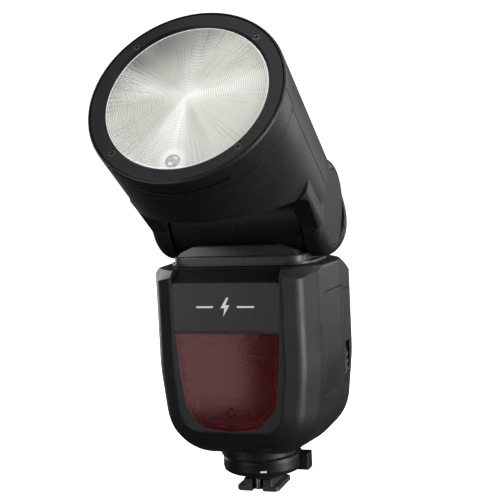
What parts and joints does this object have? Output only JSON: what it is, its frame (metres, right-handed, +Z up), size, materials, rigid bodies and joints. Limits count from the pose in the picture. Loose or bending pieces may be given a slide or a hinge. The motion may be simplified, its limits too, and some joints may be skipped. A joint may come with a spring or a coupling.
{
  "type": "speedlight flash",
  "caption": "Shoe-mount speedlight with a round tilting and swivelling head, slide-out side battery, red front window, rear display with dial, and a lock-ring foot.",
  "frame": {"origin": "centre of the shoe foot's bottom face", "axes": "+X to the viewer's right as the front is seen, the front faces -Y, +Z up from the foot to the head; stored with the head swivelled 0 degrees and tilted 34 degrees up"},
  "size_m": [0.076, 0.1144, 0.1958],
  "materials": {
    "casing": "fine matte texture",
    "trim": "smooth satin",
    "window_red": "gloss, translucent dark red",
    "lens": "clear, with concentric rings",
    "display": "gloss",
    "keys": "soft matte",
    "rubber": "matte",
    "foot_metal": "dark satin metal",
    "steel": "satin",
    "contact_metal": "bright plated",
    "mirror_bright": "polished",
    "tube_glass": "clear",
    "inner_plastic": "plain",
    "boards": "plain"
  },
  "bodies": {
    "body": {"front_shell": "casing", "rear_shell": "casing", "badge_plate": "trim", "red_window": "window_red", "sensor_lens": "window_red", "window_baffle": "inner_plastic", "assist_board": "boards", "battery_bay": "inner_plastic", "latch_housing": "casing", "port_block": "inner_plastic", "lcd_window": "display", "control_board": "boards", "main_capacitor": "inner_plastic", "main_board": "boards", "base_plate": "casing", "mount_column": "casing", "shoe_foot": "foot_metal", "shoe_contact_block": "inner_plastic", "case_screws": "steel", "swivel_bearing": "inner_plastic"},
    "lock_ring": {"lock_ring": "trim"},
    "lock_pin": {"lock_pin": "steel"},
    "contacts": {"shoe_contacts": "contact_metal"},
    "battery": {"battery_case": "inner_plastic", "battery_lid": "casing"},
    "battery_latch": {"battery_latch": "trim"},
    "port_cover": {"port_cover": "rubber"},
    "dial": {"dial": "keys"},
    "set_button": {"set_button": "keys"},
    "function_button_1": {"function_button_1": "keys"},
    "function_button_2": {"function_button_2": "keys"},
    "function_button_3": {"function_button_3": "keys"},
    "function_button_4": {"function_button_4": "keys"},
    "mode_button": {"mode_button": "keys"},
    "test_button": {"test_button": "keys"},
    "power_button": {"power_button": "keys"},
    "neck": {"swivel_base": "casing", "swivel_retainer": "steel", "neck_core": "steel", "neck_cover_left": "casing", "neck_cover_right": "casing", "tilt_shaft": "steel"},
    "head": {"head_upper_shell": "casing", "head_lower_shell": "casing", "head_collar": "casing", "bezel_ring": "trim", "bezel_screws": "steel", "magnet_ring": "steel", "fresnel_lens": "lens", "lens_frame": "inner_plastic", "modelling_lamp": "inner_plastic", "head_chassis": "inner_plastic", "zoom_rods": "steel", "zoom_motor": "steel", "hinge_plates": "steel", "hinge_caps": "trim"},
    "zoom": {"zoom_carriage": "inner_plastic", "reflector": "mirror_bright", "flash_tube": "tube_glass"},
    "lead_screw": {"lead_screw": "steel"}
  },
  "joints": [
    {"name": "swivel", "type": "hinge", "parent": "body", "child": "neck", "pos_m": [0, -0.005, 0.0973], "axis": [0, 0, 1], "range_deg": [-150, 180]},
    {"name": "tilt", "type": "hinge", "parent": "neck", "child": "head", "pos_m": [0, -0.005, 0.119], "axis": [1, 0, 0], "range_deg": [-86, 41]},
    {"name": "zoom_slide", "type": "slide", "parent": "head", "child": "zoom", "axis": [0, 0.829, -0.5592], "range_m": [0, 0.012]},
    {"name": "lead_screw_spin", "type": "hinge", "parent": "head", "child": "lead_screw", "pos_m": [0, -0.01971, 0.16873], "axis": [0, 0.829, -0.5592], "range_deg": [-5, 1445]},
    {"name": "lock_ring_turn", "type": "hinge", "parent": "body", "child": "lock_ring", "pos_m": [0, 0, 0.0115], "axis": [0, 0, -1], "range_deg": [0, 80]},
    {"name": "lock_pin_slide", "type": "slide", "parent": "body", "child": "lock_pin", "axis": [0, 0, -1], "range_m": [0, 0.0016]},
    {"name": "contact_press", "type": "slide", "parent": "body", "child": "contacts", "axis": [0, 0, 1], "range_m": [0, 0.00045], "stiffness_N_per_m": 400, "springref_m": -0.0005},
    {"name": "battery_slide", "type": "slide", "parent": "body", "child": "battery", "axis": [1, 0, 0], "range_m": [0, 0.066]},
    {"name": "battery_latch_slide", "type": "slide", "parent": "body", "child": "battery_latch", "axis": [0, 0, 1], "range_m": [0, 0.003], "stiffness_N_per_m": 150, "springref_m": -0.001},
    {"name": "port_cover_swing", "type": "hinge", "parent": "body", "child": "port_cover", "pos_m": [-0.0361, 0.0061, 0.066], "axis": [0, 0, 1], "range_deg": [0, 100]},
    {"name": "dial_turn", "type": "hinge", "parent": "body", "child": "dial", "pos_m": [0, 0.0215, 0.0395], "axis": [0, 1, 0], "continuous": true},
    {"name": "set_button_press", "type": "slide", "parent": "body", "child": "set_button", "axis": [0, -1, 0], "range_m": [0, 0.0006], "stiffness_N_per_m": 900, "springref_m": -0.0004},
    {"name": "function_button_1_press", "type": "slide", "parent": "body", "child": "function_button_1", "axis": [0, -1, 0], "range_m": [0, 0.0006], "stiffness_N_per_m": 900, "springref_m": -0.0004},
    {"name": "function_button_2_press", "type": "slide", "parent": "body", "child": "function_button_2", "axis": [0, -1, 0], "range_m": [0, 0.0006], "stiffness_N_per_m": 900, "springref_m": -0.0004},
    {"name": "function_button_3_press", "type": "slide", "parent": "body", "child": "function_button_3", "axis": [0, -1, 0], "range_m": [0, 0.0006], "stiffness_N_per_m": 900, "springref_m": -0.0004},
    {"name": "function_button_4_press", "type": "slide", "parent": "body", "child": "function_button_4", "axis": [0, -1, 0], "range_m": [0, 0.0006], "stiffness_N_per_m": 900, "springref_m": -0.0004},
    {"name": "mode_button_press", "type": "slide", "parent": "body", "child": "mode_button", "axis": [0, -1, 0], "range_m": [0, 0.0006], "stiffness_N_per_m": 900, "springref_m": -0.0004},
    {"name": "test_button_press", "type": "slide", "parent": "body", "child": "test_button", "axis": [0, -1, 0], "range_m": [0, 0.0006], "stiffness_N_per_m": 900, "springref_m": -0.0004},
    {"name": "power_button_press", "type": "slide", "parent": "body", "child": "power_button", "axis": [0, -1, 0], "range_m": [0, 0.0006], "stiffness_N_per_m": 900, "springref_m": -0.0004}
  ],
  "couplings": [
    {"joint": "lead_screw_spin", "follows": "zoom_slide", "rad_per_m": 2094.4},
    {"joint": "lock_ring_turn", "follows": "lock_pin_slide", "rad_per_m": 872.66}
  ]
}
